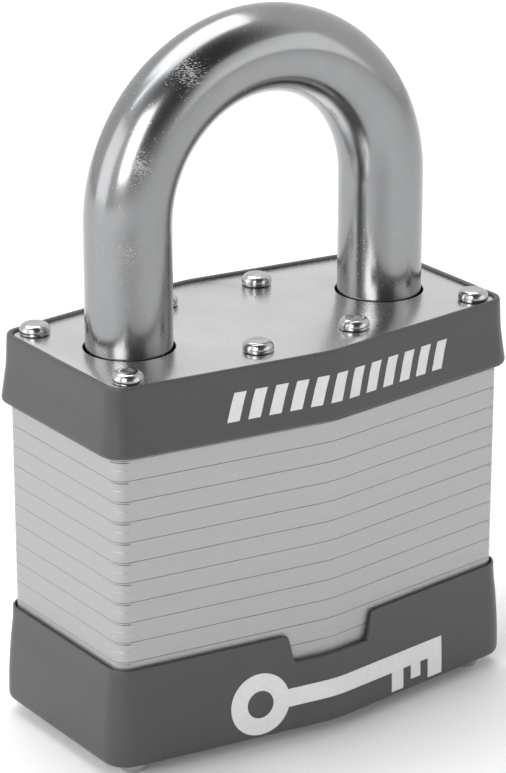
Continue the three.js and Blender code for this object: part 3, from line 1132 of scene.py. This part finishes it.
@dataclass
class KeyShape(Printing):
    """The outline of a plain key: a ring, a stem and a few teeth."""

    middle: Point2 = (1.6, 0.0)
    length: float = 29.5
    bow_radius: float = 3.6
    bow_hole: float = 1.6
    stem: float = 2.1
    teeth: Sequence[tuple[float, float, float]] = ((0.0, 2.2, 2.4), (3.4, 1.5, 1.7), (6.1, 1.8, 2.4))
    joint: float = 0.015

    def marks(self) -> list[Mark]:
        """The ring, the stem and the teeth.

        Returns:
            The patches.
        """
        x0 = self.middle[0] - self.length / 2 + self.bow_radius
        x1 = self.middle[0] + self.length / 2
        z = self.middle[1]

        def ring(u: float, v: float) -> Point2:
            """A point on the ring.

            Args:
                u: How far round.
                v: How far out.

            Returns:
                Its x and z.
            """
            angle = 2 * math.pi * u
            radius = self.bow_hole + v * (self.bow_radius - self.bow_hole)
            return x0 + radius * math.cos(angle), z + radius * math.sin(angle)

        def block(left: float, right: float, low: float, high: float) -> Corner:
            """A rectangle."""
            return lambda u, v: (left + u * (right - left), low + v * (high - low))

        def stem(u: float, v: float) -> Point2:
            """A point on the stem, which starts on the ring's curve.

            Args:
                u: How far along.
                v: How far up.

            Returns:
                Its x and z.
            """
            rise = (v - 0.5) * self.stem
            left = x0 + math.sqrt(self.bow_radius**2 - rise**2) + self.joint
            return left + u * (x1 - left), z + rise

        pieces = [(ring, 64, 3, True), (stem, 32, 6, False)]
        under = z - self.stem / 2 - self.joint
        for back, width, drop in self.teeth:
            right = x1 - back
            pieces.append((block(right - width, right, under - drop, under), 3, 4, False))
        return pieces


@dataclass
class Shackle:
    """The bent bar, with its lever notches, its turned grooves and its chamfered ends."""

    radius: float = 4.7625
    leg_x: float = 16.8575
    sides: int = 72
    bend_steps: int = 96
    chamfer: float = 0.8
    chamfer_run: float = 0.03
    chamfer_rise: float = 0.05
    notch_depth: float = 2.0
    bend_z: float = 58.4
    notch: Point2 = (32.15, 37.19)
    toe_below_notch: float = 1.9
    neck: Point2 = (16.78, 21.68)
    ring_groove: Point2 = (13.34, 14.44)
    ring_groove_depth: float = 0.86

    def ring(
        self, x: float, z: float, angle: float, radius: float, flat: float | None = None
    ) -> list[Point3]:
        """One section of the bar.

        Args:
            x: Where the section's centre is along the width.
            z: Its height.
            angle: The direction of the outside of the bend, in radians.
            radius: The section's radius.
            flat: How far from the centre the inner side is cut flat, if it is.

        Returns:
            Its points.
        """
        points = []
        for out, y in circle(radius, self.sides):
            out = max(out, -flat) if flat is not None else out
            points.append((x + out * math.cos(angle), y, z + out * math.sin(angle)))
        return points

    def leg(self, x: float, angle: float, end: float, cuts: list[tuple[float, float, float, bool]]) -> list:
        """The sections of one straight leg, from its end up to the bend.

        Args:
            x: Where the leg stands.
            angle: The direction of the outside of the bend.
            end: The height of its end.
            cuts: Each cut as (low, high, depth, all the way round).

        Returns:
            The sections.
        """
        run, rise, small = self.chamfer_run, self.chamfer_rise, self.radius - self.chamfer
        rings = [
            self.ring(x, end, angle, small),
            self.ring(x, end + run, angle, small + rise),
            self.ring(x, end + self.chamfer - run, angle, self.radius - rise),
            self.ring(x, end + self.chamfer, angle, self.radius),
        ]
        for low, high, depth, turned_round in cuts:
            inner = self.radius - depth
            for z, inside in ((low, False), (low, True), (high, True), (high, False)):
                if not inside:
                    rings.append(self.ring(x, z, angle, self.radius))
                elif turned_round:
                    rings.append(self.ring(x, z, angle, inner))
                else:
                    rings.append(self.ring(x, z, angle, self.radius, inner))
        return rings

    def build(self, finish: bpy.types.Material) -> None:
        """Makes and dresses the bar.

        Args:
            finish: Its material.
        """
        toe_end = self.notch[0] - self.toe_below_notch
        notch = (*self.notch, self.notch_depth, False)
        heel = self.leg(
            -self.leg_x,
            math.pi,
            span("shackle")[0],
            [
                (*self.ring_groove, self.ring_groove_depth, True),
                (*self.neck, self.notch_depth, True),
                notch,
            ],
        )
        toe = self.leg(self.leg_x, 0.0, toe_end, [notch])
        bend = []
        for n in range(self.bend_steps + 1):
            angle = math.pi * (1 - n / self.bend_steps)
            x, z = self.leg_x * math.cos(angle), self.bend_z + self.leg_x * math.sin(angle)
            bend.append(self.ring(x, z, angle, self.radius))
        rings = [*heel, *bend, *toe[::-1]]
        piece = mesh_piece("shackle_bar", *loft(rings, closed=False))
        fit(piece, finish, Body.SHACKLE, Slot.SHACKLE, "shackle")


@dataclass
class LockWorks:
    """The pieces inside the case, kept as they are in the frame and given their finishes."""

    brass: Sequence[str] = ("cylinder_housing", "chamber_cover", "cylinder_plug")
    steel: Sequence[str] = (
        "drive_cam", "locking_lever_left", "locking_lever_right", "shackle_stop_ring",
    )
    springs: Sequence[str] = ("shackle_spring", "lever_spring")
    pin_stacks: int = 5

    def dress(self) -> None:
        """Gives each piece its finish."""
        brass, steel, wire = BRASS.build(), STEEL.build(), WIRE.build()
        looks = {name: brass for name in self.brass}
        looks |= {name: steel for name in self.steel}
        looks |= {name: wire for name in self.springs}
        for n in range(1, self.pin_stacks + 1):
            looks |= {f"key_pin_{n}": brass, f"driver_pin_{n}": brass, f"pin_spring_{n}": wire}
        for name, look in looks.items():
            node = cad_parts[name]
            node.data.materials.clear()
            node.data.materials.append(look)
            log.info("%s keeps its shape", name)


# ---------------------------------------------------------------- the studio


@dataclass(frozen=True)
class Softbox:
    """A rectangular soft light that looks at the padlock."""

    name: str
    place: Point3
    size: Point2
    power: float
    colour: Point3 = (1.0, 1.0, 1.0)

    def build(self) -> None:
        """Hangs the light."""
        lamp = bpy.data.lights.new(self.name, "AREA")
        lamp.shape = "RECTANGLE"
        lamp.size, lamp.size_y = self.size
        lamp.energy = self.power
        lamp.color = self.colour
        holder = bpy.data.objects.new(self.name, lamp)
        bpy.context.scene.collection.objects.link(holder)
        holder.location = self.place
        aim = Vector((0.0, 0.0, 0.04)) - Vector(self.place)
        holder.rotation_euler = aim.to_track_quat("-Z", "Y").to_euler()


@dataclass
class Studio:
    """The floor, the lights and the camera.

    The floor has painted shade: it is a little greyer in a soft patch in front of the padlock, outside
    the main view. The reflection of this painted shade puts the darker band down the middle of each leg of
    the bar.
    """

    eye: Point3 = (-0.18799, -0.26537, 0.15787)
    aim: Point3 = (-0.001437, 0.0, 0.036935)
    lens: float = 145.27
    shift_x: float = 0.0082
    dark_side: Point3 = (-0.2, -0.6, 0.72)
    dark_spread: tuple[float, float] = (22.0, 58.0)
    dark: float = 0.08
    tent: float = 0.92
    # Painted shade on the floor: where its soft greyer patch lies, how far it fades out, and its grey.
    painted_shade_place: Point3 = (-0.1, -0.15, 0.0)
    painted_shade_reach: tuple[float, float] = (0.03, 0.12)
    patch: Colour = grey(0.62)
    lights: Sequence[Softbox] = (
        Softbox("left_softbox", (-0.74, -0.44, 0.48), (0.42, 0.6), 4.6),
        Softbox("left_window", (-0.82, 0.32, 0.3), (0.6, 0.6), 1.6),
        Softbox("sky_window", (-0.5, 0.3, 0.85), (0.1, 0.4), 0.6, (0.82, 0.91, 1.0)),
        Softbox("right_fill", (0.55, -0.85, 0.35), (0.9, 0.6), 1.3),
        Softbox("top_softbox", (0.0, 0.35, 1.0), (0.9, 0.8), 6.5),
    )

    def lay_floor(self) -> None:
        """Lays a wide pale floor, with a soft patch of painted shade in front of the padlock."""
        work = bmesh.new()
        bmesh.ops.create_grid(work, x_segments=1, y_segments=1, size=4.0)
        mesh = bpy.data.meshes.new("floor")
        work.to_mesh(mesh)
        work.free()
        s = Sketch("floor_pale")
        tone = s.remap(s.noise(s.place(), 3, 2), 0.3, 0.7)
        # Painted shade: the floor turns greyer towards a spot in front of the padlock.
        away = s.add(
            "ShaderNodeVectorMath", {0: s.place(), 1: self.painted_shade_place}, operation="DISTANCE"
        )
        outside = s.remap(away.outputs["Value"], *self.painted_shade_reach)
        colour = s.blend(outside, self.patch, s.blend(tone, grey(0.88), grey(0.90)))
        mesh.materials.append(s.shade(Base_Color=colour, Roughness=0.9))
        floor = bpy.data.objects.new("floor", mesh)
        bpy.context.scene.collection.objects.link(floor)

    def light_room(self) -> None:
        """Sets a pale surround, darker above the front, and hangs the softboxes."""
        world = bpy.data.worlds.new("studio")
        world.use_nodes = True
        tree = world.node_tree
        toward = tree.nodes.new("ShaderNodeTexCoord")
        facing = tree.nodes.new("ShaderNodeVectorMath")
        facing.operation = "DOT_PRODUCT"
        facing.inputs[1].default_value = Vector(self.dark_side).normalized()
        fade = tree.nodes.new("ShaderNodeMapRange")
        fade.interpolation_type = "SMOOTHSTEP"
        fade.inputs["From Min"].default_value = math.cos(math.radians(self.dark_spread[1]))
        fade.inputs["From Max"].default_value = math.cos(math.radians(self.dark_spread[0]))
        fade.inputs["To Min"].default_value = self.tent
        fade.inputs["To Max"].default_value = self.dark
        tree.links.new(toward.outputs["Generated"], facing.inputs[0])
        tree.links.new(facing.outputs["Value"], fade.inputs["Value"])
        tree.links.new(fade.outputs["Result"], tree.nodes["Background"].inputs["Strength"])
        tree.nodes["Background"].inputs["Color"].default_value = grey(1.0)
        bpy.context.scene.world = world
        bpy.context.scene.view_settings.view_transform = "Standard"
        for softbox in self.lights:
            softbox.build()

    def set_camera(self) -> None:
        """Sets the camera up."""
        lens = bpy.data.cameras.new("camera")
        lens.lens = self.lens
        lens.sensor_width = 36.0
        lens.shift_x = self.shift_x
        lens.clip_start = 0.01
        camera = bpy.data.objects.new("camera", lens)
        bpy.context.scene.collection.objects.link(camera)
        camera.location = self.eye
        aim = Vector(self.aim) - Vector(self.eye)
        camera.rotation_euler = aim.to_track_quat("-Z", "Y").to_euler()
        bpy.context.scene.camera = camera

    def build(self) -> None:
        """Builds the whole studio."""
        self.lay_floor()
        self.light_room()
        self.set_camera()


def upper_collar() -> Bumper:
    """The sizes of the upper collar, whose heights start at the top of the top plate.

    Returns:
        The collar.
    """
    return Bumper(
        node="top_bumper",
        datum=span("top_plate")[1],
        wall=(
            (-0.24, 0.15), (-0.1, 0.22), (0.1, 0.24), (0.28, 0.2), (0.38, 0.0), (0.42, -0.5), (0.46, -1.1),
            (0.52, -2.4), (0.6, -3.5), (0.72, -4.3), (0.86, -5.3), (1.0, -6.2), (1.11, -6.9), (1.1, -7.2),
            (0.97, -7.43), (0.72, -7.52),
        ),
        inner=((0.3, -7.52), (0.04, -7.4), (0.04, -3.28), (-0.31, -3.28), (-0.31, 0.05)),
    )


def lower_collar() -> NotchedBumper:
    """The sizes of the lower collar, whose heights start at the underside of the bottom plate.

    Returns:
        The collar.
    """
    return NotchedBumper(
        node="bottom_bumper",
        datum=span("bottom_plate")[0],
        wall=(
            (0.52, 11.8), (0.54, 11.3), (0.6, 10.2), (0.69, 9.24), (0.83, 8.2), (0.92, 7.24), (1.03, 5.8),
            (1.14, 4.2), (1.2, 2.6), (1.22, 1.6), (1.19, 0.98), (1.03, 0.62), (0.72, 0.48),
        ),
        inner=((0.0, 0.48), (-0.25, 0.5), (-0.31, 0.6), (-0.31, 3.28), (0.04, 3.28)),
    )


def main() -> None:
    """Builds the padlock and its studio."""
    logging.basicConfig(level=logging.INFO, format="%(name)s: %(message)s")
    Studio().build()
    PlateStack().build(ShearedSteel().build(), GroundSteel().build())
    Rivets().build(RivetSteel().build())
    plastic, ink = BumperPlastic().build(), PaleInk().build()
    top, bottom = upper_collar(), lower_collar()
    top.build(plastic)
    bottom.build(plastic)
    SlantedBars(bumper=top, middle=(1.6, top.datum - 3.9)).build("top_print", ink)
    KeyShape(bumper=bottom, middle=(1.6, bottom.datum + 4.6)).build("bottom_print", ink)
    Shackle().build(ShackleChrome().build())
    LockWorks().dress()


if __name__ == "__main__":
    main()
